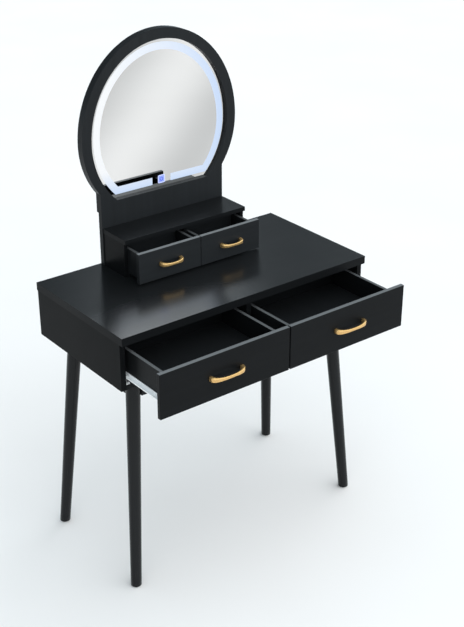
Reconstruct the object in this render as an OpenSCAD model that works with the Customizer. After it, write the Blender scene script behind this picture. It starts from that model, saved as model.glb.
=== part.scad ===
// Vanity table with a lit oval mirror, a two-drawer hutch and two large drawers.
// Millimetres. +Z up, the sitter's side is -Y, +X to the sitter's right.
// The model is drawn with y = 0 at the worktop's front edge, then every node is
// shifted so that the origin is the middle of the whole object's base.

/* [Worktop] */
// Width of the worktop
top_w = 800; // [760:1:1000]
// Depth of the worktop
top_d = 407; // [400:1:460]
// Height of the worktop's upper face above the floor
top_z = 762; // [730:1:800]
// Thickness of the worktop
top_t = 22; // [18:1:25]

/* [Cabinet] */
// Height of the cabinet under the worktop
cab_h = 130; // [126:1:150]
// Thickness of the cabinet's side panels and centre divider
panel_t = 15; // [12:1:18]
// Thickness of the cabinet's bottom and back panels
thin_t = 12; // [9:1:12]
// How far the side panels sit in from the worktop's ends
side_inset = 0.5; // [0:0.5:6]
// How far the back panel sits in from the worktop's rear edge
rear_inset = 3; // [2:0.5:15]

/* [Legs and aprons] */
// Leg diameter at the top
leg_top_dia = 39; // [34:0.5:44]
// Leg diameter at the foot
leg_foot_dia = 29.5; // [24:0.5:34]
// Distance of each foot's centre from the worktop's end
foot_in_x = 22; // [15:1:40]
// Distance of each foot's centre from the worktop's front or rear edge
foot_in_y = 18.5; // [15:0.5:40]
// How far each leg leans outward, along X and along Y, from top to foot
leg_splay = 46.5; // [30:0.5:55]
// Height of the apron rails
apron_h = 54; // [40:1:60]
// Thickness of the apron rails
apron_t = 18; // [15:1:20]
// Thickness of the plastic glide under each foot
glide_t = 3; // [2:0.5:5]

/* [Large drawers] */
// How far the large drawers stand open at rest
drawer_open = 154; // [60:1:170]
// Furthest that the slides let a large drawer out
drawer_travel = 180; // [170:1:185]
// Thickness of the large drawer fronts
front_t = 12; // [10:1:18]
// Height of the large drawer fronts
front_h = 122; // [118:1:124]
// Height of the large drawers' side boards
box_h = 70; // [60:0.5:73]
// Thickness of the large drawers' side and back boards
box_t = 9; // [8:1:15]
// Length of the large drawers' slides
slide_len = 250; // [240:1:260]
// Room for a slide on each side of a large drawer
slide_gap = 12; // [12:0.5:13]

/* [Hutch] */
// Width of the hutch's shelf
hutch_w = 400; // [380:1:406]
// Height of the hutch
hutch_h = 107; // [100:1:120]
// Depth of the hutch in front of the mirror board
hutch_d = 107; // [100:1:120]
// Thickness of the hutch's shelf
shelf_t = 12; // [10:1:15]
// Thickness of the hutch's sides
hutch_t = 10; // [9:1:12]
// How far the hutch's sides sit back from the shelf's front edge
hutch_back = 7.5; // [2:0.5:12]
// Thickness of the hutch's divider, bottom and drawer boards
hutch_thin = 9; // [8:0.5:10]
// How far the small drawers stand open at rest
small_open = 57.5; // [20:0.5:60]
// Thickness of the small drawer fronts
small_front_t = 12; // [10:1:15]

/* [Mirror] */
// Width of the mirror frame
mirror_w = 497; // [460:1:520]
// Height of the mirror's widest line above the worktop
mirror_up = 341; // [325:0.5:360]
// Height of the mirror frame's top above its widest line
mirror_rise = 273.5; // [255:0.5:285]
// Depth that the frame's rounded outline would reach below its widest line
mirror_drop = 237.5; // [225:0.5:250]
// Width of the frame's opening
opening_w = 440; // [420:1:450]
// Height of the opening's top above the widest line
opening_rise = 245; // [230:0.5:255]
// Depth that the opening's rounded outline would reach below the widest line
opening_drop = 224; // [210:0.5:235]
// Distance of the opening's flat lower edge below the widest line
chord_down = 164; // [155:0.5:170]
// Width of the board under the mirror
neck_w = 403; // [400:1:420]
// Thickness of the mirror board
board_t = 15; // [12:1:16]
// Thickness of the cover behind the mirror
cover_t = 8; // [8:1:16]
// Distance of the mirror board's front face from the worktop's rear edge
board_in = 19; // [16:1:24]
// Depth of the glass behind the frame's front face
glass_deep = 9; // [6:0.5:9]
// Width of the lit band
band_w = 20.5; // [15:0.5:25]
// Width of the gap in the lit band, round the touch switch
band_gap = 60; // [50:1:80]
// Side of the square touch switch
touch_w = 23; // [18:1:26]

/* [Handles] */
// Hole spacing of the large handles
handle_holes = 96; // [96:32:128]
// Hole spacing of the small handles
small_handle_holes = 64; // [64:32:64]
// Overall length of the large handles
handle_over = 106; // [106:1:116]
// Overall length of the small handles
small_handle_over = 74; // [74:1:88]
// How far the large handles stand out
handle_reach = 24; // [22:1:32]
// How far the small handles stand out
small_handle_reach = 22; // [20:1:28]

/* [Hidden] */
$fn = 96;
eps = 0.01;
cut = 1;                // how far a cutting shape runs past a face
fit = 0.05;             // radial clearance of a fastener in its hole
stop_gap = 0.5;         // air behind a closed drawer front

// cabinet
cab_z1 = top_z - top_t;
cab_z0 = cab_z1 - cab_h;
cab_y0 = front_t + stop_gap;
cab_y1 = top_d - rear_inset;
back_y = cab_y1 - thin_t;
side_x = top_w / 2 - side_inset;
bay_x1 = side_x - panel_t;
bay_x0 = panel_t / 2;
floor_z = cab_z0 + thin_t;

// legs
foot_x = top_w / 2 - foot_in_x;
lean = atan(leg_splay * sqrt(2) / cab_z0);
leg_at_x = foot_x - leg_splay;
leg_at_y = foot_in_y + leg_splay;
glide_r = leg_foot_dia / 2 - 3.5;

// aprons
apron_z0 = cab_z0 - apron_h;
apron_front_y = leg_at_y - leg_top_dia / 2 - 0.5;
apron_side_x = leg_at_x + leg_top_dia / 2 - 5;
apron_end_x = leg_at_x - 12;
apron_end_y = leg_at_y + 12;
apron_inner_x = apron_side_x - apron_t;
apron_inner_y = apron_front_y + apron_t;
bracket_span = 44;
bracket_ear = 16;
bracket_t = 2;
bracket_z0 = apron_z0 + 10;
bracket_h = 34;
bracket_screw_up = [9, 25];
bolt_r = 4;
bolt_z = bracket_z0 + bracket_h / 2;
bolt_len = 42;
nut_r = 7.5;
nut_h = 6.5;
screw_r = 2;
screw_head_r = 3.8;
screw_head_h = 2.2;
screw_len = 15;

// large drawers, drawn for the right-hand bay and mirrored for the left
front_x0 = 2;
front_x1 = top_w / 2 - 1;
front_z0 = cab_z0 - 1;
front_z1 = front_z0 + front_h;
drawer_y = -drawer_open;
box_y0 = drawer_y + front_t;
box_len = slide_len - 7;
box_y1 = box_y0 + box_len;
box_x0 = bay_x0 + slide_gap;
box_x1 = bay_x1 - slide_gap;
box_z1 = front_z1 - 16.5;
box_z0 = box_z1 - box_h;
base_t = 3;
base_up = 9;
groove = 4;
groove_air = 0.1;

// slides
steel_t = 1.2;
rail_y0 = cab_y0 + 1.5;
rail_z1 = box_z0 + 3;
flange_z = box_z0 - steel_t;
roller_air = 0.3;
roller_r = 8.8;
roller_z = flange_z - roller_air - roller_r;
roller_w = 5.4;
hub_r = 4.8;
hub_w = 7.8;
track_z = roller_z - roller_r - roller_air;
roller_bore_r = 2.05;
axle_r = 2;
axle_head_r = 3.4;
axle_head_t = 0.5;
axle_len = slide_gap - 2;
front_roller_y = rail_y0 + 11;
rear_roller_y = box_y1 - 11;
stop_h = 1.5;
stop_y = rear_roller_y - (drawer_travel - drawer_open) - 4.6;

// handles
handle_foot = 10;
handle_bar_t = 4.5;
handle_end_h = 14;
handle_mid_h = 7.5;
handle_screw_r = 2;
handle_bore = 9;
handle_z = (front_z0 + front_z1) / 2 + 0.5;
handle_x = (front_x0 + front_x1) / 2 + 2.5;
small_handle_foot = 10;
small_handle_end_h = 12;
small_handle_mid_h = 7;

// hutch
board_y = top_d - board_in;
board_back = board_y + board_t;
hutch_x = hutch_w / 2;
hutch_y0 = board_y - hutch_d;
hutch_z1 = top_z + hutch_h;
shelf_z = hutch_z1 - shelf_t;
hutch_side_x = hutch_x - 1;
hutch_floor_z = top_z + hutch_thin;
hutch_side_y0 = hutch_y0 + hutch_back;
small_y = hutch_side_y0 - stop_gap - small_front_t - small_open;
small_x1 = hutch_x;
small_x0 = 1;
small_z0 = top_z + 4;
small_z1 = shelf_z - 6;
small_box_y0 = small_y + small_front_t;
small_box_len = hutch_d - hutch_back - 4.5;
small_box_x0 = hutch_thin / 2 + 1;
small_box_x1 = hutch_side_x - hutch_t - 1;
small_box_z0 = hutch_floor_z + 0.5;
small_box_z1 = small_z1 - 8.5;
small_handle_x = (small_x0 + small_x1) / 2;
small_handle_z = (small_z0 + small_z1) / 2;

// mirror
mirror_z = top_z + mirror_up;
cover_z0 = mirror_z - chord_down - 28;
cover_back = board_back + cover_t;
cover_wall = 3;
rebate = 7;
glass_air = 0.5;
glass_y = board_y + glass_deep;
glass_t = 4;
inlay = 1;
band_in = 9.5;
band_chord = chord_down - 13;
strip_in = band_in + 4;
strip_chord = band_chord - 4;
strip_w = 8;
strip_t = 1.8;
touch_z = mirror_z - band_chord + band_w / 2 + 1;
touch_round = 4;
module_w = 44;
module_h = 18;
module_t = 5;
inlet_x = 140;
inlet_z = mirror_z - chord_down + 5;
inlet_r = 6;
inlet_flange_r = 8;
inlet_flange_t = 1.5;
inlet_bore_r = 2.85;
inlet_bore_len = 9;
cover_screw_out = 18;
cover_screw_angles = [15, 55, 90, 125, 165];

// the object's reach in front of and behind the worktop's front edge
front_reach = drawer_open + handle_reach;
back_reach = cover_back + inlet_flange_t;
mid_y = (back_reach - front_reach) / 2;

black = [0.12, 0.125, 0.135];
dark_wood = [0.13, 0.13, 0.14];
gold = [0.82, 0.63, 0.36];
white_steel = [0.93, 0.93, 0.92];
zinc = [0.72, 0.73, 0.75];
plastic = [0.07, 0.07, 0.08];

// ---- helpers ----

// moves the drawing frame to the object's own frame
module placed() translate([0, -mid_y, 0]) children();

// puts a right-hand piece on one side: 1 is right, -1 is left
module handed(side) mirror([side < 0 ? 1 : 0, 0, 0]) children();

module block(x0, x1, y0, y1, z0, z1)
    translate([x0, y0, z0]) cube([x1 - x0, y1 - y0, z1 - z0]);

// a cylinder along X, or along +Y, from the given point
module rod_x(r, len) rotate([0, 90, 0]) cylinder(r = r, h = len);
module rod_y(r, len) rotate([-90, 0, 0]) cylinder(r = r, h = len);

// an upright plate of a flat outline, from y0 to y1, with the outline's Y upward
module plate_y(y0, y1) translate([0, y1, 0]) rotate([90, 0, 0]) linear_extrude(y1 - y0) children();

// all four corners of the table
module each_corner() for (sx = [1, -1], rear = [0, 1])
    translate([0, rear * top_d, 0]) mirror([0, rear, 0]) handed(sx) children();

// a flat-headed wood screw along -Z, head's upper face at z = 0
module wood_screw(len) {
    translate([0, 0, -screw_head_h]) cylinder(r1 = screw_r, r2 = screw_head_r, h = screw_head_h);
    translate([0, 0, -len]) cylinder(r = screw_r, h = len - screw_head_h + eps);
}
module wood_screw_hole(len) {
    translate([0, 0, -screw_head_h]) cylinder(r1 = screw_r + fit, r2 = screw_head_r + fit, h = screw_head_h);
    cylinder(r = screw_head_r + fit, h = cut);
    translate([0, 0, -len - fit]) cylinder(r = screw_r + fit, h = len);
}

// ---- worktop and cabinet ----

cam_ys = [cab_y0 + 50, back_y - 40];
cam_down = 24;
cam_r = 7.5;
cam_deep = 10;
cam_bolt_r = 3;
cam_bolt_up = 12;

// the three upright panels' cams: x of the face that the cam sits in
cam_faces = [bay_x1, -bay_x1 - cam_deep, bay_x0 - cam_deep];

module each_cam() for (x = cam_faces, y = cam_ys) translate([x, y, cab_z1 - cam_down]) children();
module cam_bolt_at(r, extra) translate([cam_deep / 2, 0, cam_r - 1])
    cylinder(r = r, h = cam_down - cam_r + 1 + cam_bolt_up + extra);
module cam_holes() each_cam() {
    rod_x(cam_r + fit, cam_deep);
    cam_bolt_at(cam_bolt_r + fit, fit);
}

module worktop() placed() color(black) difference() {
    block(-top_w / 2, top_w / 2, 0, top_d, cab_z1, top_z);
    cam_holes();
}

module side_panel(side) color(black) difference() {
    handed(side) block(bay_x1, side_x, cab_y0, cab_y1, cab_z0, cab_z1);
    cam_holes();
}
module side_panel_left() placed() side_panel(-1);
module side_panel_right() placed() side_panel(1);

module centre_divider() placed() color(black) difference() {
    block(-bay_x0, bay_x0, cab_y0, back_y, floor_z, cab_z1);
    cam_holes();
}

module back_panel() placed() color(black)
    block(-bay_x1, bay_x1, back_y, cab_y1, cab_z0, cab_z1);

module bottom_panel() placed() color(black) difference() {
    block(-bay_x1, bay_x1, cab_y0, back_y, cab_z0, floor_z);
    apron_screw_places() wood_screw_hole(apron_screw_len);
}

module cam_fittings() placed() color(zinc) each_cam() difference() {
    union() {
        rod_x(cam_r, cam_deep);
        cam_bolt_at(cam_bolt_r, 0);
    }
    // the cam's screwdriver slot
    for (x = [0, cam_deep]) translate([x, 0, 0]) cube([2, 9, 1.6], center = true);
}

// ---- legs and aprons ----

// a leg's own frame: foot centre on the floor, +Z up the leaning axis
module leg_frame() translate([foot_x, foot_in_y, 0])
    rotate([0, 0, 135]) rotate([0, lean, 0]) children();

module leg_cone(air) leg_frame() cylinder(
    r1 = leg_foot_dia / 2 - 10 * (leg_top_dia - leg_foot_dia) / 2 / cab_z0 + air,
    r2 = leg_top_dia / 2 + 10 * (leg_top_dia - leg_foot_dia) / 2 / cab_z0 + air,
    h = cab_z0 + 30);

module leg_bolt_line() translate([bracket_mid_x, bracket_mid_y, bolt_z])
    rotate([0, 0, -45]) children();

module leg(sx, rear) color(dark_wood)
    translate([0, rear * top_d, 0]) mirror([0, rear, 0]) handed(sx) difference() {
        intersection() {
            leg_cone(0);
            block(leg_at_x - 60, foot_x + 60, 0 - 60, leg_at_y + 60, glide_t, cab_z0);
        }
        leg_bolt_line() rod_x(bolt_r + fit, bolt_len + fit);
    }
module leg_front_left() placed() leg(-1, 0);
module leg_front_right() placed() leg(1, 0);
module leg_rear_left() placed() leg(-1, 1);
module leg_rear_right() placed() leg(1, 1);

module foot_glides() placed() color(plastic) each_corner()
    translate([foot_x, foot_in_y, 0]) cylinder(r = glide_r, h = glide_t);

cope_air = 0.3;
apron_screw_len = 34;
apron_screw_xs = [100, 240];
apron_mid_y = apron_front_y + apron_t / 2;
module apron_screw_places() for (sx = [1, -1], rear = [0, 1], x = apron_screw_xs)
    translate([sx * x, rear * top_d + (1 - 2 * rear) * apron_mid_y, floor_z]) children();

module apron_long_rails() placed() color(dark_wood) for (rear = [0, 1]) difference() {
    translate([0, rear * top_d, 0]) mirror([0, rear, 0])
        block(-apron_end_x, apron_end_x, apron_front_y, apron_inner_y, apron_z0, cab_z0);
    each_corner() leg_cone(cope_air);
    apron_screw_places() wood_screw_hole(apron_screw_len);
    each_corner() bracket_screw_lines() rotate([90, 0, 0]) cylinder(r = screw_r + fit, h = screw_len);
}

module apron_short_rails() placed() color(dark_wood) for (sx = [1, -1]) difference() {
    handed(sx) block(apron_inner_x, apron_side_x, apron_end_y, top_d - apron_end_y, apron_z0, cab_z0);
    each_corner() leg_cone(cope_air);
    each_corner() side_screw_lines() rod_x(screw_r + fit, screw_len);
}

// the corner bracket: a bent steel strip across the inside of each corner
bracket_x0 = apron_inner_x - bracket_span;
bracket_y1 = apron_inner_y + bracket_span;
bracket_mid_x = (bracket_x0 + apron_inner_x) / 2;
bracket_mid_y = (apron_inner_y + bracket_y1) / 2;
bend = bracket_t * tan(22.5);
module bracket_outline() polygon([
    [bracket_x0 - bracket_ear, apron_inner_y], [bracket_x0, apron_inner_y],
    [apron_inner_x, bracket_y1], [apron_inner_x, bracket_y1 + bracket_ear],
    [apron_inner_x - bracket_t, bracket_y1 + bracket_ear], [apron_inner_x - bracket_t, bracket_y1 + bend],
    [bracket_x0 - bend, apron_inner_y + bracket_t], [bracket_x0 - bracket_ear, apron_inner_y + bracket_t]]);

// screw axes: from the bracket's ears into the long rail (-Y) and the short rail (+X)
module bracket_screw_lines() for (up = bracket_screw_up)
    translate([bracket_x0 - bracket_ear / 2, apron_inner_y + bracket_t, bracket_z0 + up]) children();
module side_screw_lines() for (up = bracket_screw_up)
    translate([apron_inner_x - bracket_t, bracket_y1 + bracket_ear / 2, bracket_z0 + up]) children();

module leg_fixings() placed() color(zinc) each_corner() {
    difference() {
        translate([0, 0, bracket_z0]) linear_extrude(bracket_h) bracket_outline();
        leg_bolt_line() translate([-cut * 4, 0, 0]) rod_x(bolt_r + fit, 8);
        bracket_screw_lines() rotate([90, 0, 0]) translate([0, 0, -cut]) cylinder(r = screw_r + fit, h = 4);
        side_screw_lines() translate([-cut, 0, 0]) rod_x(screw_r + fit, 4);
    }
    // the hanger bolt and its nut
    leg_bolt_line() {
        translate([-bracket_t - nut_h - 2, 0, 0]) rod_x(bolt_r, bolt_len + bracket_t + nut_h + 2);
        translate([-bracket_t - nut_h, 0, 0]) difference() {
            rotate([0, 90, 0]) cylinder(r = nut_r, h = nut_h, $fn = 6);
            translate([-cut, 0, 0]) rod_x(bolt_r + eps, nut_h + 2 * cut);
        }
    }
}

// wood screws: the bottom panel to the aprons, the brackets to the aprons
module frame_screws() placed() color(zinc) {
    apron_screw_places() wood_screw(apron_screw_len);
    each_corner() {
        bracket_screw_lines() {
            rotate([90, 0, 0]) cylinder(r = screw_r, h = screw_len);
            rotate([-90, 0, 0]) cylinder(r = screw_head_r, h = screw_head_h);
        }
        side_screw_lines() {
            rod_x(screw_r, screw_len);
            rotate([0, -90, 0]) cylinder(r = screw_head_r, h = screw_head_h);
        }
    }
}

// ---- slides ----

// the four slide places of a bay pair: children are drawn for a wall on the +X side,
// with x = 0 on the wall and the drawer at x = -slide_gap
module bay_walls(side) handed(side) {
    translate([bay_x1, 0, 0]) children();
    translate([bay_x0, 0, 0]) mirror([1, 0, 0]) children();
}

// cabinet member: a C-shaped steel track on the bay's wall, with its front axle and
// the bump that stops the rear roller when the drawer is right out
module cabinet_rail() {
    lip = 2.5;
    translate([0, rail_y0 + slide_len, 0]) rotate([90, 0, 0]) linear_extrude(slide_len) union() {
        translate([-steel_t, track_z - steel_t]) square([steel_t, rail_z1 - track_z + steel_t]);
        translate([-slide_gap + 0.6, track_z - steel_t]) square([slide_gap - 0.6, steel_t]);
        translate([-slide_gap + 0.6, track_z - steel_t]) square([steel_t, lip + steel_t]);
        translate([-8, rail_z1 - steel_t]) square([8, steel_t]);
    }
    block(-slide_gap / 2 - 3, -slide_gap / 2 + 3, stop_y - 4, stop_y, track_z - eps, track_z + stop_h);
    translate([0, front_roller_y, roller_z]) rotate([0, -90, 0]) axle();
}
// along +Z from the face that carries it
module axle() {
    cylinder(r = axle_r, h = axle_len + eps);
    translate([0, 0, axle_len]) cylinder(r = axle_head_r, h = axle_head_t);
}
module left_bay_rails() placed() color(white_steel) bay_walls(-1) cabinet_rail();
module right_bay_rails() placed() color(white_steel) bay_walls(1) cabinet_rail();

// drawer member: a folded strip under the drawer's side, with its rear axle
module drawer_runner() {
    web_up = 6.5;
    outer = 1.7;
    lip = 2;
    translate([0, box_y1, 0]) rotate([90, 0, 0]) linear_extrude(box_len) union() {
        translate([-slide_gap - box_t, flange_z]) square([box_t + slide_gap - outer, steel_t]);
        translate([-slide_gap, flange_z]) square([steel_t, steel_t + web_up]);
        translate([-outer - steel_t, flange_z - lip]) square([steel_t, lip + eps]);
    }
    // tab that carries the rear roller's axle
    block(-slide_gap, -slide_gap + steel_t, rear_roller_y - 9, box_y1, roller_z - 5, flange_z + eps);
    translate([-slide_gap, rear_roller_y, roller_z]) rotate([0, 90, 0]) axle();
}
module left_drawer_runners() placed() color(white_steel) bay_walls(-1) drawer_runner();
module right_drawer_runners() placed() color(white_steel) bay_walls(1) drawer_runner();

// both rollers sit in the middle of the slide's gap
module roller(y) translate([-slide_gap / 2, y, roller_z]) rotate([0, 90, 0]) difference() {
    union() {
        cylinder(r = roller_r, h = roller_w, center = true);
        cylinder(r = hub_r, h = hub_w, center = true);
    }
    cylinder(r = roller_bore_r, h = hub_w + 2 * cut, center = true);
}
module front_rollers(side) color(plastic) bay_walls(side) roller(front_roller_y);
module rear_rollers(side) color(plastic) bay_walls(side) roller(rear_roller_y);
module left_front_rollers() placed() front_rollers(-1);
module right_front_rollers() placed() front_rollers(1);
module left_rear_rollers() placed() rear_rollers(-1);
module right_rear_rollers() placed() rear_rollers(1);

// ---- handles ----

// half of a squared-off ellipse, reaching to -Y from the drawer front at y = 0
bow_power = 2.7;
bow_steps = 36;
module half_bow(half, reach) polygon([for (i = [0 : bow_steps]) let (t = 180 * i / bow_steps)
    [sign(cos(t)) * half * pow(abs(cos(t)), 2 / bow_power), -reach * pow(abs(sin(t)), 2 / bow_power)]]);
// the bar seen from the front: lower in the middle than at the feet
module bar_face(half, end_h, mid_h) polygon(concat(
    [for (i = [-6 : 6]) [half * i / 6, -bar_half(i, end_h, mid_h)]],
    [for (i = [6 : -1 : -6]) [half * i / 6, bar_half(i, end_h, mid_h)]]));
function bar_half(i, end_h, mid_h) = mid_h / 2 + (end_h - mid_h) / 2 * pow(i / 6, 2);

// a bow-shaped pull on two feet
module pull(holes, over, reach, foot, end_h, mid_h) color(gold) difference() {
    intersection() {
        translate([0, 0, -end_h / 2]) linear_extrude(end_h) difference() {
            half_bow(over / 2, reach);
            translate([0, eps]) half_bow(over / 2 - foot, reach - handle_bar_t + eps);
        }
        plate_y(-reach - cut, cut) bar_face(over / 2, end_h, mid_h);
    }
    for (sx = [1, -1])
        translate([sx * holes / 2, -handle_bore, 0]) rod_y(handle_screw_r + fit, handle_bore + cut);
}
module large_pull() pull(handle_holes, handle_over, handle_reach, handle_foot, handle_end_h, handle_mid_h);
module small_pull() pull(small_handle_holes, small_handle_over, small_handle_reach, small_handle_foot,
    small_handle_end_h, small_handle_mid_h);

// the pull's two machine screws, with their heads inside the drawer
module pull_screws(holes, board) for (sx = [1, -1]) translate([sx * holes / 2, 0, 0]) {
    translate([0, 1 - handle_bore, 0]) rod_y(handle_screw_r, handle_bore + board - 1);
    translate([0, board, 0]) rod_y(4, 2.4);
}
module pull_screw_holes(holes, board) for (sx = [1, -1])
    translate([sx * holes / 2, -cut, 0]) rod_y(handle_screw_r + 2 * fit, board + 2 * cut);

// ---- large drawers, drawn on the right ----

module at_handle() translate([handle_x, drawer_y, handle_z]) children();

module drawer_front(side) placed() color(black) handed(side) difference() {
    block(front_x0, front_x1, drawer_y, box_y0, front_z0, front_z1);
    at_handle() pull_screw_holes(handle_holes, front_t);
    drawer_base_shape(groove_air);
}
module drawer_sides(side) placed() color(black) handed(side) difference() {
    union() {
        block(box_x0, box_x0 + box_t, box_y0, box_y1, box_z0, box_z1);
        block(box_x1 - box_t, box_x1, box_y0, box_y1, box_z0, box_z1);
    }
    drawer_base_shape(groove_air);
}
module drawer_back(side) placed() color(black) handed(side) difference() {
    block(box_x0 + box_t, box_x1 - box_t, box_y1 - box_t, box_y1, box_z0, box_z1);
    drawer_base_shape(groove_air);
}
module drawer_base_shape(air) block(box_x0 + box_t - groove - air, box_x1 - box_t + groove + air,
    box_y0 - groove - air, box_y1 - box_t + groove + air,
    box_z0 + base_up - air, box_z0 + base_up + base_t + air);
module drawer_base(side) placed() color(black) handed(side) drawer_base_shape(0);
module drawer_handle(side) placed() handed(side) at_handle() large_pull();
module handle_screws(side) placed() color(zinc) handed(side) at_handle() pull_screws(handle_holes, front_t);

module left_drawer_front() drawer_front(-1);
module left_drawer_sides() drawer_sides(-1);
module left_drawer_back() drawer_back(-1);
module left_drawer_base() drawer_base(-1);
module left_drawer_handle() drawer_handle(-1);
module left_handle_screws() handle_screws(-1);
module right_drawer_front() drawer_front(1);
module right_drawer_sides() drawer_sides(1);
module right_drawer_back() drawer_back(1);
module right_drawer_base() drawer_base(1);
module right_drawer_handle() drawer_handle(1);
module right_handle_screws() handle_screws(1);

// ---- hutch ----

board_screw_len = 50;
board_screw_zs = [hutch_floor_z + 20, shelf_z - 20];
// screws from behind the mirror board into the hutch's sides and shelf
module board_screw_places() {
    for (sx = [1, -1], z = board_screw_zs)
        translate([sx * (hutch_side_x - hutch_t / 2), board_back, z]) children();
    for (x = [-100, 0, 100]) translate([x, board_back, shelf_z + shelf_t / 2]) children();
}
module board_screw_holes() board_screw_places() rotate([-90, 0, 0]) wood_screw_hole(board_screw_len);

module hutch_top() placed() color(black) difference() {
    block(-hutch_x, hutch_x, hutch_y0, board_y, shelf_z, hutch_z1);
    board_screw_holes();
}
module hutch_sides() placed() color(black) for (sx = [1, -1]) difference() {
    handed(sx) block(hutch_side_x - hutch_t, hutch_side_x, hutch_side_y0, board_y, top_z, shelf_z);
    board_screw_holes();
}
module hutch_divider() placed() color(black)
    block(-hutch_thin / 2, hutch_thin / 2, hutch_side_y0, board_y, hutch_floor_z, shelf_z);
module hutch_bottom() placed() color(black)
    block(-hutch_side_x + hutch_t, hutch_side_x - hutch_t, hutch_side_y0, board_y, top_z, hutch_floor_z);

// ---- small drawers, drawn on the right ----

small_box_y1 = small_box_y0 + small_box_len;
small_base_up = 4;
module at_small_handle() translate([small_handle_x, small_y, small_handle_z]) children();

module small_front(side) placed() color(black) handed(side) difference() {
    block(small_x0, small_x1, small_y, small_box_y0, small_z0, small_z1);
    at_small_handle() pull_screw_holes(small_handle_holes, small_front_t);
    small_base_shape(groove_air);
}
module small_sides(side) placed() color(black) handed(side) difference() {
    union() {
        block(small_box_x0, small_box_x0 + hutch_thin, small_box_y0, small_box_y1,
            small_box_z0, small_box_z1);
        block(small_box_x1 - hutch_thin, small_box_x1, small_box_y0, small_box_y1,
            small_box_z0, small_box_z1);
    }
    small_base_shape(groove_air);
}
module small_back(side) placed() color(black) handed(side) difference() {
    block(small_box_x0 + hutch_thin, small_box_x1 - hutch_thin, small_box_y1 - hutch_thin, small_box_y1,
        small_box_z0, small_box_z1);
    small_base_shape(groove_air);
}
module small_base_shape(air) block(
    small_box_x0 + hutch_thin - groove - air, small_box_x1 - hutch_thin + groove + air,
    small_box_y0 - groove - air, small_box_y1 - hutch_thin + groove + air,
    small_box_z0 + small_base_up - air, small_box_z0 + small_base_up + base_t + air);
module small_base(side) placed() color(black) handed(side) small_base_shape(0);
module small_handle(side) placed() handed(side) at_small_handle() small_pull();
module small_screws(side) placed() color(zinc) handed(side) at_small_handle()
    pull_screws(small_handle_holes, small_front_t);

module small_left_front() small_front(-1);
module small_left_sides() small_sides(-1);
module small_left_back() small_back(-1);
module small_left_base() small_base(-1);
module small_left_handle() small_handle(-1);
module small_left_screws() small_screws(-1);
module small_right_front() small_front(1);
module small_right_sides() small_sides(1);
module small_right_back() small_back(1);
module small_right_base() small_base(1);
module small_right_handle() small_handle(1);
module small_right_screws() small_screws(1);

// ---- mirror ----

// an upright oval, taller above its widest line than below
oval_steps = 144;
function oval_point(half_w, rise, drop, t) = [half_w * cos(t), (sin(t) > 0 ? rise : drop) * sin(t)];
module oval(half_w, rise, drop) translate([0, mirror_z])
    polygon([for (i = [0 : oval_steps - 1]) oval_point(half_w, rise, drop, 360 * i / oval_steps)]);
// the opening's outline moved outward by grow, with its flat lower edge at chord below the widest line
module d_shape(grow, chord) difference() {
    oval(opening_w / 2 + grow, opening_rise + grow, opening_drop + grow);
    translate([-opening_w, mirror_z - chord - opening_w]) square([2 * opening_w, opening_w]);
}
// the keyhole outline: the mirror's oval on its straight neck
module keyhole(z0) union() {
    oval(mirror_w / 2, mirror_rise, mirror_drop);
    translate([-neck_w / 2, z0]) square([neck_w, mirror_z - z0 - mirror_w / 4]);
}

module cover_screw_places() {
    for (a = cover_screw_angles) let (
        at = oval_point(opening_w / 2 + cover_screw_out, opening_rise + cover_screw_out, 0, a)
    ) translate([at.x, cover_back, mirror_z + at.y]) children();
    for (sx = [1, -1]) translate([sx * (neck_w / 2 - 8), cover_back, cover_z0 + 12]) children();
}
cover_screw_len = 18;
module cover_screw_holes() cover_screw_places() rotate([-90, 0, 0]) wood_screw_hole(cover_screw_len);

module mirror_frame() placed() color(black) difference() {
    plate_y(board_y, board_back) keyhole(top_z);
    plate_y(board_y - cut, board_back + cut) d_shape(0, chord_down);
    plate_y(glass_y, board_back + cut) d_shape(rebate, chord_down + rebate);
    board_screw_holes();
    cover_screw_holes();
}
module mirror_back_cover() placed() color(black) difference() {
    plate_y(board_back, cover_back) keyhole(cover_z0);
    plate_y(board_back - cut, cover_back - cover_wall) d_shape(rebate, chord_down + rebate);
    translate([inlet_x, board_back, inlet_z]) rod_y(inlet_r + fit, cover_t + cut);
    cover_screw_holes();
}

module band_outline() difference() {
    d_shape(-band_in, band_chord);
    d_shape(-band_in - band_w, band_chord - band_w);
    translate([-band_gap / 2, mirror_z - band_chord - cut]) square([band_gap, band_w + 2 * cut]);
}
module touch_outline() translate([0, touch_z]) {
    square([touch_w, touch_w - 2 * touch_round], center = true);
    square([touch_w - 2 * touch_round, touch_w], center = true);
    for (sx = [1, -1], sz = [1, -1]) translate([sx, sz] * (touch_w / 2 - touch_round))
        circle(r = touch_round);
}

module mirror_glass() placed() color([0.85, 0.87, 0.88]) difference() {
    plate_y(glass_y, glass_y + glass_t) d_shape(rebate - glass_air, chord_down + rebate - glass_air);
    plate_y(glass_y - cut, glass_y + inlay) band_outline();
    plate_y(glass_y - cut, glass_y + inlay) touch_outline();
}
// the frosted band that lets the light through
module light_band() placed() color([0.97, 0.98, 1]) plate_y(glass_y, glass_y + inlay) band_outline();

// the strip of lamps behind the glass
module led_strip() placed() color([0.95, 0.93, 0.8])
    plate_y(glass_y + glass_t, glass_y + glass_t + strip_t) difference() {
        d_shape(-strip_in, strip_chord);
        d_shape(-strip_in - strip_w, strip_chord - strip_w);
        translate([-band_gap / 2, mirror_z - strip_chord - cut]) square([band_gap, strip_w + 2 * cut]);
    }

// the touch window in the glass and its circuit behind
module touch_switch() placed() color([0.75, 0.8, 0.95]) {
    plate_y(glass_y, glass_y + inlay) touch_outline();
    block(-module_w / 2, module_w / 2, glass_y + glass_t, glass_y + glass_t + module_t,
        touch_z - module_h / 2, touch_z + module_h / 2);
}

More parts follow.
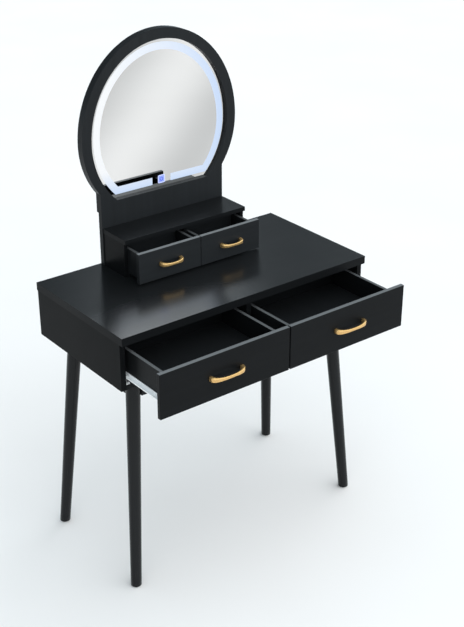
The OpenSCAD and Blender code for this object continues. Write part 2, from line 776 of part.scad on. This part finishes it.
module dc_inlet() placed() color(plastic) translate([inlet_x, 0, inlet_z]) difference() {
    union() {
        translate([0, cover_back - inlet_bore_len, 0]) rod_y(inlet_r, inlet_bore_len + eps);
        translate([0, cover_back, 0]) rod_y(inlet_flange_r, inlet_flange_t);
    }
    translate([0, back_reach - inlet_bore_len, 0]) rod_y(inlet_bore_r, inlet_bore_len + cut);
}

module mirror_screws() placed() color(zinc) {
    board_screw_places() rotate([-90, 0, 0]) wood_screw(board_screw_len);
    cover_screw_places() rotate([-90, 0, 0]) wood_screw(cover_screw_len);
}

worktop();
side_panel_left();
side_panel_right();
centre_divider();
back_panel();
bottom_panel();
apron_long_rails();
apron_short_rails();
leg_front_left();
leg_front_right();
leg_rear_left();
leg_rear_right();
foot_glides();
leg_fixings();
cam_fittings();
frame_screws();
left_bay_rails();
right_bay_rails();
left_drawer_front();
left_drawer_sides();
left_drawer_back();
left_drawer_base();
left_drawer_handle();
left_handle_screws();
left_drawer_runners();
right_drawer_front();
right_drawer_sides();
right_drawer_back();
right_drawer_base();
right_drawer_handle();
right_handle_screws();
right_drawer_runners();
left_front_rollers();
left_rear_rollers();
right_front_rollers();
right_rear_rollers();
hutch_top();
hutch_sides();
hutch_divider();
hutch_bottom();
small_left_front();
small_left_sides();
small_left_back();
small_left_base();
small_left_handle();
small_left_screws();
small_right_front();
small_right_sides();
small_right_back();
small_right_base();
small_right_handle();
small_right_screws();
mirror_frame();
mirror_back_cover();
mirror_glass();
light_band();
led_strip();
touch_switch();
dc_inlet();
mirror_screws();
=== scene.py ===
"""Looks for the vanity table with mirror: materials, softened edges, pulls, light, floor and camera."""
import math

import bmesh
import bpy
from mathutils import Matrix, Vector


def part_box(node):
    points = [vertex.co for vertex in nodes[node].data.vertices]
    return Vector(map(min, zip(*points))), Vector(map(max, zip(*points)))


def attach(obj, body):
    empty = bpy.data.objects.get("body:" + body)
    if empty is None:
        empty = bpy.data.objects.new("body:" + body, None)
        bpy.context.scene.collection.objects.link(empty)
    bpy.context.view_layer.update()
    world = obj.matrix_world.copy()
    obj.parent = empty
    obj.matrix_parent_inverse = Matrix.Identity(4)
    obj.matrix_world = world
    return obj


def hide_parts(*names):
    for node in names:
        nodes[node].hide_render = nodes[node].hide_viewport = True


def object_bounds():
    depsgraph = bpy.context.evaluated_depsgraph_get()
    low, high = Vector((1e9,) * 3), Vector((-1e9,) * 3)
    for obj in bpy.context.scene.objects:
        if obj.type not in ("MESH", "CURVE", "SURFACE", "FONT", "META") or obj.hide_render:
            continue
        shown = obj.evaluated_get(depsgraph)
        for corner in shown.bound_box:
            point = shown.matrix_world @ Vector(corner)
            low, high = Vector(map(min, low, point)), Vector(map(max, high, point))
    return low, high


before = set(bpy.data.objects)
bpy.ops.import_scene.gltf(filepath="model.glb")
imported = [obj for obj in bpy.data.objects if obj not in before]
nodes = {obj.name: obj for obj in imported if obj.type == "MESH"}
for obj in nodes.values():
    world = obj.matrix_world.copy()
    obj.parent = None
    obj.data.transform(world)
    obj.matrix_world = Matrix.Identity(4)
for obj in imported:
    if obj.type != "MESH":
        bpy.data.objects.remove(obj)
cad_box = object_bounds()
MM = 0.001

# ---- camera: the viewing angle, from the front and left of the table and above it ----

SENSOR_MM = 36.0              # spans the picture's taller side
LENS_MM = 68.77895
AZIMUTH = math.radians(-37.98)
ELEVATION = math.radians(26.57)
# the camera's place, from the floor under the middle of the worktop's front edge
CAMERA_FROM_EDGE = Vector((-1.7509, -2.1590, 2.0977))


def make_camera():
    top_low, top_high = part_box("worktop")
    edge = Vector(((top_low.x + top_high.x) / 2, top_low.y, 0))
    forward = Vector((
        -math.sin(AZIMUTH) * math.cos(ELEVATION),
        math.cos(AZIMUTH) * math.cos(ELEVATION),
        -math.sin(ELEVATION),
    ))
    data = bpy.data.cameras.new("camera")
    data.sensor_width = SENSOR_MM
    data.lens = LENS_MM
    data.clip_start, data.clip_end = 0.05, 60
    camera = bpy.data.objects.new("camera", data)
    camera.location = edge + CAMERA_FROM_EDGE
    camera.rotation_euler = forward.to_track_quat("-Z", "Y").to_euler()
    bpy.context.scene.collection.objects.link(camera)
    bpy.context.scene.camera = camera


make_camera()

# ---- node helpers ----


class Nodes:
    """A material and short calls to add and wire its shader nodes."""

    def __init__(self, name):
        self.material = bpy.data.materials.new(name)
        self.material.use_nodes = True
        self.tree = self.material.node_tree
        self.shader = self.tree.nodes["Principled BSDF"]

    def add(self, kind, inputs=(), **settings):
        node = self.tree.nodes.new("ShaderNode" + kind)
        for key, value in settings.items():
            setattr(node, key, value)
        for key, value in dict(inputs).items():
            self.put(node.inputs[key], value)
        return node

    def put(self, socket, value):
        if isinstance(value, bpy.types.NodeSocket):
            self.tree.links.new(value, socket)
        else:
            socket.default_value = value

    def set(self, **values):
        names = {key.replace("_", " ").lower(): key for key in values}
        for socket in self.shader.inputs:
            key = names.get(socket.name.lower())
            if key:
                self.put(socket, values[key])

    def place(self, scale=(1, 1, 1)):
        """Object coordinates in metres, stretched by scale."""
        coords = self.add("TexCoord").outputs["Object"]
        return self.add("Mapping", {"Vector": coords, "Scale": scale}).outputs["Vector"]

    def noise(self, vector, scale, detail=4.0, roughness=0.55, distortion=0.0):
        return self.add("TexNoise", {
            "Vector": vector, "Scale": scale, "Detail": detail,
            "Roughness": roughness, "Distortion": distortion,
        }).outputs["Fac"]

    def ramp(self, fac, low, high, start=0.0, end=1.0):
        node = self.add("ValToRGB", {"Fac": fac})
        first, last = node.color_ramp.elements
        first.position, last.position = start, end
        first.color, last.color = grey(low), grey(high)
        return node.outputs["Color"]

    def bump(self, height, distance, strength):
        return self.add("Bump", {"Height": height, "Distance": distance, "Strength": strength}).outputs["Normal"]

    def math(self, operation, first, second=0.0):
        return self.add("Math", {0: first, 1: second}, operation=operation).outputs[0]


def grey(value):
    """An RGBA colour from a number or an RGB triple."""
    rgb = value if hasattr(value, "__len__") else (value, value, value)
    return (*rgb, 1.0)


# ---- materials ----

GRAIN_ACROSS = 60.0
GRAIN_ALONG = 3.0
LACQUER_IOR = 1.75
LACQUER_ROUGH = 0.21
# a painted highlight standing in for the room that a worktop would mirror: the clear coat is painted stronger
# round this place
SHINE_AT = (-0.25, -0.08, 0.76)
SHINE_SPREAD = (0.32, 0.14, 1.0)   # metres
SATIN = 0.4                        # the lacquer's share away from there


def painted_shine(m):
    """The lacquer's share, a painted highlight: 1 at the glossy place, SATIN well away from it."""
    offset = m.add("VectorMath", {0: m.place(), 1: SHINE_AT}, operation="SUBTRACT").outputs[0]
    spread = m.add("VectorMath", {0: offset, 1: SHINE_SPREAD}, operation="DIVIDE").outputs[0]
    away = m.add("VectorMath", {0: spread}, operation="LENGTH").outputs["Value"]
    limits = {"Value": away, "From Min": 0.45, "From Max": 1.15, "To Min": 1.0, "To Max": SATIN}
    return m.add("MapRange", limits, interpolation_type="SMOOTHSTEP").outputs["Result"]


def board_material(name, along, tone=0.0085, rough=(0.28, 0.38), specular=0.13, painted_top_light=0.0, lacquered=False):
    """Satin black board with a faint pressed grain along one axis (0, 1 or 2).

    The pale tone for its upward faces is a painted highlight, standing for the light that falls on them; 0 leaves
    them black.
    A lacquered board has a clear coat on its upward faces, stronger round one place: a painted highlight.
    """
    m = Nodes(name)
    stretch = [GRAIN_ACROSS] * 3
    stretch[along] = GRAIN_ALONG
    grain = m.noise(m.place(stretch), 1.0, detail=6, roughness=0.6, distortion=0.4)
    cloud = m.noise(m.place(), 5.0, detail=2)
    dark = tuple(tone * c for c in (0.88, 0.92, 0.97))
    light = tuple(tone * c for c in (1.06, 1.12, 1.2))
    colour = m.ramp(grain, dark, light, 0.3, 0.75)
    up = m.add("SeparateXYZ", {"Vector": m.add("TexCoord").outputs["Normal"]}).outputs["Z"]
    facing = m.add("MapRange", {"Value": up, "From Min": 0.55, "From Max": 0.95}).outputs["Result"]
    if lacquered:
        m.set(coat_weight=m.math("MULTIPLY", facing, painted_shine(m)), coat_roughness=LACQUER_ROUGH, coat_ior=LACQUER_IOR)
    # painted highlight: the upward faces are painted a paler tone, as if lit from above
    if painted_top_light:
        band = m.ramp(grain, (painted_top_light * 0.94,) * 3, (painted_top_light, painted_top_light * 1.01, painted_top_light * 1.02), 0.3, 0.7)
        colour = m.add("MixRGB", {"Fac": facing, "Color1": colour, "Color2": band}).outputs["Color"]
    m.set(
        base_color=colour,
        roughness=m.ramp(cloud, rough[0], rough[1], 0.35, 0.7),
        specular_ior_level=specular,
        normal=m.bump(grain, 0.00006, 0.2),
    )
    return m.material


BRUSH_ACROSS = 900.0
BRUSH_DEPTH = 0.00002


def zinc_material():
    """Bright zinc plate, streaked along the upright axis."""
    m = Nodes("zinc_plate")
    lines = m.noise(m.place((BRUSH_ACROSS, BRUSH_ACROSS, BRUSH_ACROSS / 40)), 1.0, detail=2)
    colour = (0.62, 0.63, 0.65)
    tint = tuple(c * 0.93 for c in colour)
    m.set(base_color=m.ramp(lines, tint, colour, 0.3, 0.7), metallic=1.0,
          roughness=m.ramp(lines, 0.25, 0.4, 0.3, 0.7), normal=m.bump(lines, BRUSH_DEPTH, 0.4))
    return m.material


def gold_material():
    """Brushed gold plate, paler where the brushing lies flat."""
    m = Nodes("brushed_gold")
    lines = m.noise(m.place((BRUSH_ACROSS / 15, BRUSH_ACROSS, BRUSH_ACROSS)), 1.0, detail=2)
    m.set(base_color=m.ramp(lines, (0.66, 0.39, 0.14), (0.78, 0.49, 0.20), 0.3, 0.7), metallic=0.75,
          roughness=m.ramp(lines, 0.15, 0.24, 0.3, 0.7), normal=m.bump(lines, BRUSH_DEPTH, 0.4))
    return m.material


def coat_material(name, colour, low, high, scale=700.0):
    """Powder coat or moulded plastic: one colour with a fine uneven skin."""
    m = Nodes(name)
    skin = m.noise(m.place(), scale, detail=2)
    wide = m.noise(m.place(), 14.0, detail=2)
    tint = tuple(c * 0.9 for c in colour)
    m.set(base_color=m.ramp(wide, tint, colour, 0.3, 0.7), roughness=m.ramp(skin, low, high, 0.3, 0.7),
          normal=m.bump(skin, 0.00004, 0.35))
    return m.material


# added to the shading normal alone, so the reflection sits a little lower and to the right; the glass is square
GLASS_LEAN = (0.0105, 0.0, -0.0115)
SHEEN_SLOPE = -0.9      # a pale stripe painted in the glass's colour, not reflected, runs up to the right
SHEEN_RATE = 12.0       # radians a metre across it
SHEEN_PHASE = 14.3


def mirror_material():
    """Silvered glass with a painted reflection: a pale stripe painted in its colour makes it a touch greyer toward
    its upper left and its right.
    """
    m = Nodes("silvered_glass")
    axes = m.add("SeparateXYZ", {"Vector": m.place()})
    # painted reflection: the pale diagonal stripe is painted into the glass's colour
    slant = m.math("ADD", axes.outputs["X"], m.math("MULTIPLY", axes.outputs["Z"], SHEEN_SLOPE))
    swing = m.math("SINE", m.math("ADD", m.math("MULTIPLY", slant, SHEEN_RATE), SHEEN_PHASE))
    level = m.add("MapRange", {"Value": swing, "From Min": -1.0, "From Max": 1.0}).outputs["Result"]
    haze = m.noise(m.place(), 7.0, detail=1)
    square = m.add("NewGeometry").outputs["Normal"]
    lean = m.add("VectorMath", {0: square, 1: GLASS_LEAN}, operation="ADD").outputs[0]
    m.set(base_color=m.ramp(level, (0.575, 0.557, 0.545), (0.83, 0.80, 0.78)), metallic=1.0,
          roughness=m.ramp(haze, 0.004, 0.012, 0.3, 0.7),
          normal=m.add("VectorMath", {0: lean}, operation="NORMALIZE").outputs[0])
    return m.material


def lit_band_material():
    """Frosted glass lit from behind, cooler toward the right-hand side and the bottom."""
    m = Nodes("lit_frosted_band")
    axes = m.add("SeparateXYZ", {"Vector": m.place()})
    side = m.add("MapRange", {"Value": axes.outputs["X"], "From Min": -0.16, "From Max": 0.2}).outputs["Result"]
    low = m.add("MapRange", {"Value": axes.outputs["Z"], "From Min": 1.02, "From Max": 0.95}).outputs["Result"]
    cool = m.math("MAXIMUM", side, low)
    frost = m.noise(m.place(), 260.0, detail=2)
    m.set(base_color=m.ramp(frost, 0.07, 0.09), roughness=m.ramp(frost, 0.45, 0.6),
          emission_color=m.ramp(cool, (0.93, 0.95, 0.97), (0.56, 0.70, 0.95)), emission_strength=0.87)
    return m.material


def touch_material():
    """A lit window with a pale rounded frame round an on-off sign: a broken ring and a stroke."""
    m = Nodes("touch_window")
    low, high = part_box("touch_switch")
    axes = m.add("SeparateXYZ", {"Vector": m.place()})

    def within(value, start, end):
        return m.math("MULTIPLY", m.math("GREATER_THAN", value, start), m.math("LESS_THAN", value, end))

    x = m.math("SUBTRACT", axes.outputs["X"], (low.x + high.x) / 2)
    z = m.math("SUBTRACT", axes.outputs["Z"], (low.z + high.z) / 2)
    across = m.math("ABSOLUTE", x)
    reach = m.math("MAXIMUM", across, m.math("ABSOLUTE", z))
    radius = m.math("SQRT", m.math("ADD", m.math("MULTIPLY", x, x), m.math("MULTIPLY", z, z)))
    gap = m.math("MULTIPLY", m.math("LESS_THAN", across, 2.2 * MM), m.math("GREATER_THAN", z, 0.0))
    ring = m.math("MULTIPLY", within(radius, 3.4 * MM, 6.0 * MM), m.math("SUBTRACT", 1.0, gap))
    stroke = m.math("MULTIPLY", m.math("LESS_THAN", across, 0.9 * MM), within(z, 1.0 * MM, 6.6 * MM))
    sign = m.math("MAXIMUM", ring, stroke)
    frame_line = m.math("GREATER_THAN", reach, 9.4 * MM)
    field = m.ramp(frame_line, (0.26, 0.34, 0.92), (0.66, 0.72, 1.0))
    colour = m.add("MixRGB", {"Fac": sign, "Color1": field, "Color2": grey((0.02, 0.04, 0.28))}).outputs["Color"]
    m.set(base_color=grey((0.08, 0.10, 0.3)), roughness=0.15, emission_color=colour, emission_strength=1.0)
    return m.material


# The boards share one black finish; their tones below differ part by part as painted light and shade, paler on the
# small drawers' fronts and the mirror board, which lie in shade.
MATERIALS = {
    "top": board_material("black_board_top", 0, tone=0.0075, rough=(0.35, 0.45), specular=0.05, lacquered=True),
    "board_x": board_material("black_board_grain_x", 0, tone=0.008, specular=0.06),
    "board_y": board_material("black_board_grain_y", 1, tone=0.006, specular=0.03),
    # painted highlights on the drawer boards' upward faces, in a different tone for each kind of board
    "drawer_x": board_material("black_drawer_board_x", 0, tone=0.007, specular=0.06, painted_top_light=0.145),
    "drawer_y": board_material("black_drawer_board_y", 1, tone=0.008, specular=0.06, painted_top_light=0.10),
    "small_x": board_material("black_small_board_x", 0, tone=0.018, specular=0.08, painted_top_light=0.17),
    "small_y": board_material("black_small_board_y", 1, tone=0.011, specular=0.06, painted_top_light=0.06),
    "mirror_board": board_material("black_mirror_board", 2, tone=0.017, specular=0.06),
    "base": board_material("black_hardboard", 1, tone=0.012, rough=(0.3, 0.4), specular=0.2),
    "leg": board_material("black_lacquered_wood", 2, tone=0.008, rough=(0.2, 0.28), specular=0.2),
    "rail_wood": board_material("black_lacquered_rail", 0, rough=(0.3, 0.4)),
    "gold": gold_material(),
    "zinc": zinc_material(),
    "white_steel": coat_material("white_epoxy_steel", (0.97, 0.96, 0.95), 0.25, 0.38),
    "plastic": coat_material("black_plastic", (0.012, 0.012, 0.014), 0.35, 0.5, scale=500),
    "strip": coat_material("lamp_strip", (0.9, 0.88, 0.76), 0.5, 0.6),
    "mirror": mirror_material(),
    "band": lit_band_material(),
    "touch": touch_material(),
}


def finish_of(node):
    """The material of a CAD node, from its name."""
    if node in ("worktop", "hutch_top"):
        return "top"
    if node == "mirror_glass":
        return "mirror"
    if node == "light_band":
        return "band"
    if node == "led_strip":
        return "strip"
    if node == "touch_switch":
        return "touch"
    if node.endswith("handle"):
        return "gold"
    if node.endswith(("rollers", "glides", "inlet")):
        return "plastic"
    if node.endswith(("bay_rails", "runners")):
        return "white_steel"
    if node.endswith(("screws", "fixings", "fittings")):
        return "zinc"
    if node.startswith("leg_"):
        return "leg"
    if node.startswith("apron"):
        return "rail_wood"
    if node.endswith("base"):
        return "base"
    if node.startswith("mirror"):
        return "mirror_board"
    if node.startswith(("left_", "right_", "small_")):
        size = "small" if node.startswith("small_") else "drawer"
        return f"{size}_y" if node.endswith("sides") else f"{size}_x"
    if node.endswith("sides") or "side_panel" in node or "divider" in node:
        return "board_y"
    return "board_x"


# ---- CAD nodes: materials and softened edges ----

EDGES = {
    "top": 1.2 * MM, "board_x": 0.9 * MM, "board_y": 0.9 * MM, "drawer_x": 0.9 * MM, "drawer_y": 0.8 * MM,
    "small_x": 0.8 * MM, "small_y": 0.6 * MM, "mirror_board": 1.0 * MM, "leg": 2.0 * MM, "rail_wood": 1.2 * MM,
}


def soften(piece, width):
    """Joins the mesh's split vertices, then rounds its sharp edges."""
    weld = piece.modifiers.new("weld", "WELD")
    weld.merge_threshold = 1e-5
    bevel = piece.modifiers.new("soft_edges", "BEVEL")
    bevel.width = width
    bevel.segments = 3
    bevel.limit_method = "ANGLE"
    bevel.angle_limit = math.radians(40)
    bevel.harden_normals = True
    bevel.use_clamp_overlap = True


def dress(node):
    piece = nodes[node]
    finish = finish_of(node)
    piece.data.materials.clear()
    piece.data.materials.append(MATERIALS[finish])
    if finish in EDGES:
        soften(piece, EDGES[finish])


for name in nodes:
    dress(name)

# ---- bow pulls: the CAD pulls' outline with a rounded bar ----

BOW_POWER = 2.7
PULL_RINGS = 56
PULL_SECTION = 24
BAR_THICK = 4.5 * MM
FOOT = 10 * MM
SECTION_POWER = 4.0


def squared_ellipse(angle, power):
    """A point of a unit squared-off ellipse."""
    c, s = math.cos(angle), math.sin(angle)
    return math.copysign(abs(c) ** (2 / power), c), math.copysign(abs(s) ** (2 / power), s)


def bow_pull(name, node, body, end_height, mid_height):
    """A pull bent from a bar, as long and as deep as the CAD pull, lower in the middle than at its feet."""
    rings, section = PULL_RINGS, PULL_SECTION
    low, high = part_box(node)
    half, reach = (high.x - low.x) / 2, high.y - low.y
    centre_x, centre_z = (low.x + high.x) / 2, (low.z + high.z) / 2
    verts, faces = [], []
    for i in range(rings + 1):
        x, y = squared_ellipse(math.pi * i / rings, BOW_POWER)
        outer = Vector((half * x, -reach * y, 0))
        inner = Vector(((half - FOOT) * x, -(reach - BAR_THICK) * y, 0))
        middle, spoke = (outer + inner) / 2, (outer - inner) / 2
        height = mid_height / 2 + (end_height - mid_height) / 2 * (outer.x / half) ** 2
        for k in range(section):
            u, v = squared_ellipse(2 * math.pi * (k + 0.5) / section, SECTION_POWER)
            verts.append(middle + spoke * u + Vector((centre_x, high.y, centre_z + height * v)))
    for i in range(rings):
        for k in range(section):
            a, b = i * section + k, i * section + (k + 1) % section
            faces.append((a, b, b + section, a + section))
    faces.append(tuple(range(section)))
    faces.append(tuple(range(rings * section, (rings + 1) * section))[::-1])
    mesh = bpy.data.meshes.new(name)
    mesh.from_pydata(verts, [], faces)
    shape = bmesh.new()
    shape.from_mesh(mesh)
    bmesh.ops.recalc_face_normals(shape, faces=shape.faces)
    for face in shape.faces:
        face.smooth = len(face.verts) == 4
    shape.to_mesh(mesh)
    shape.free()
    mesh.materials.append(MATERIALS["gold"])
    piece = bpy.data.objects.new(name, mesh)
    bpy.context.scene.collection.objects.link(piece)
    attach(piece, body)
    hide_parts(node)


# a pull's height at its feet and in its middle
LARGE_HEIGHTS = (14 * MM, 7.5 * MM)
SMALL_HEIGHTS = (12 * MM, 7 * MM)

for side in ("left", "right"):
    bow_pull(f"{side}_bow_pull", f"{side}_drawer_handle", f"{side}_drawer", *LARGE_HEIGHTS)
    bow_pull(f"{side}_small_bow_pull", f"small_{side}_handle", f"{side}_small_drawer", *SMALL_HEIGHTS)

# ---- floor and light ----

FLOOR_HALF = 14.0


def make_floor():
    """A plain pale floor, a little warm, which evens out the cool light."""
    m = Nodes("pale_floor")
    tone = m.noise(m.place(), 1.2, detail=2)
    m.set(base_color=m.ramp(tone, (0.91, 0.84, 0.80), (0.94, 0.87, 0.83), 0.3, 0.7),
          roughness=m.ramp(tone, 0.85, 0.95), specular_ior_level=0.2)
    mesh = bpy.data.meshes.new("floor")
    size = FLOOR_HALF
    mesh.from_pydata([(-size, -size, 0), (size, -size, 0), (size, size, 0), (-size, size, 0)], [], [(0, 1, 2, 3)])
    floor = bpy.data.objects.new("floor", mesh)
    floor.location.z = cad_box[0][2] - 0.2 * MM
    mesh.materials.append(m.material)
    bpy.context.scene.collection.objects.link(floor)


FRONT_TINT = (0.90, 1.0, 1.06)
BACK_TINT = (0.80, 1.0, 1.12)
# how bright the studio is at each height, from the horizon (0) to overhead (1)
SKY_FRONT = ((0.0, 1.5), (0.15, 2.0), (0.65, 2.0), (1.0, 1.3))
SKY_BACK = (
    (0.0, 0.7), (0.12, 0.4), (0.25, 0.08), (0.42, 0.08),
    (0.52, 0.13), (0.70, 0.4), (0.85, 1.1), (1.0, 1.3),
)
LIGHT_FROM = (0.5, -0.87, 0.0)    # toward the bright half, in front and a little to the right
LIGHT_EDGES = (-0.4, 0.3)
SOFTBOX_TO = Vector((0.505, 0.735, 0.452)).normalized()    # a small softbox high behind the table
SOFTBOX_LEVEL = (1.5, 1.65, 1.75)
SOFTBOX_EDGES = (math.cos(math.radians(5.5)), math.cos(math.radians(1)))


def make_world():
    """Soft light from the front and overhead, a dim backdrop behind the table and one softbox in it."""
    world = bpy.data.worlds.new("studio")
    world.use_nodes = True
    tree = world.node_tree
    background = tree.nodes["Background"]
    around = tree.nodes.new("ShaderNodeTexCoord").outputs["Generated"]
    axes = tree.nodes.new("ShaderNodeSeparateXYZ")
    tree.links.new(around, axes.inputs[0])

    def toward(direction, edges):
        """1 where the sky lies along a direction, 0 away from it, soft between the edges."""
        along = tree.nodes.new("ShaderNodeVectorMath")
        along.operation = "DOT_PRODUCT"
        along.inputs[1].default_value = direction
        tree.links.new(around, along.inputs[0])
        share = tree.nodes.new("ShaderNodeMapRange")
        share.interpolation_type = "SMOOTHSTEP"
        share.inputs["From Min"].default_value, share.inputs["From Max"].default_value = edges
        tree.links.new(along.outputs["Value"], share.inputs["Value"])
        return share.outputs["Result"]

    mix = tree.nodes.new("ShaderNodeMixRGB")
    tree.links.new(toward(LIGHT_FROM, LIGHT_EDGES), mix.inputs["Fac"])
    for socket, levels, tint in (("Color1", SKY_BACK, BACK_TINT), ("Color2", SKY_FRONT, FRONT_TINT)):
        ramp = tree.nodes.new("ShaderNodeValToRGB")
        tree.links.new(axes.outputs["Z"], ramp.inputs[0])
        tree.links.new(ramp.outputs["Color"], mix.inputs[socket])
        stops = ramp.color_ramp.elements
        while len(stops) < len(levels):
            stops.new(0.5)
        for stop, (height, level) in zip(stops, levels):
            stop.position = height
            stop.color = grey(tuple(level * c for c in tint))
    glow = tree.nodes.new("ShaderNodeMixRGB")
    glow.blend_type = "ADD"
    glow.inputs["Color2"].default_value = grey(SOFTBOX_LEVEL)
    tree.links.new(toward(SOFTBOX_TO, SOFTBOX_EDGES), glow.inputs["Fac"])
    tree.links.new(mix.outputs["Color"], glow.inputs["Color1"])
    tree.links.new(glow.outputs["Color"], background.inputs["Color"])
    bpy.context.scene.world = world


make_floor()
make_world()
bpy.context.scene.view_settings.view_transform = "Standard"
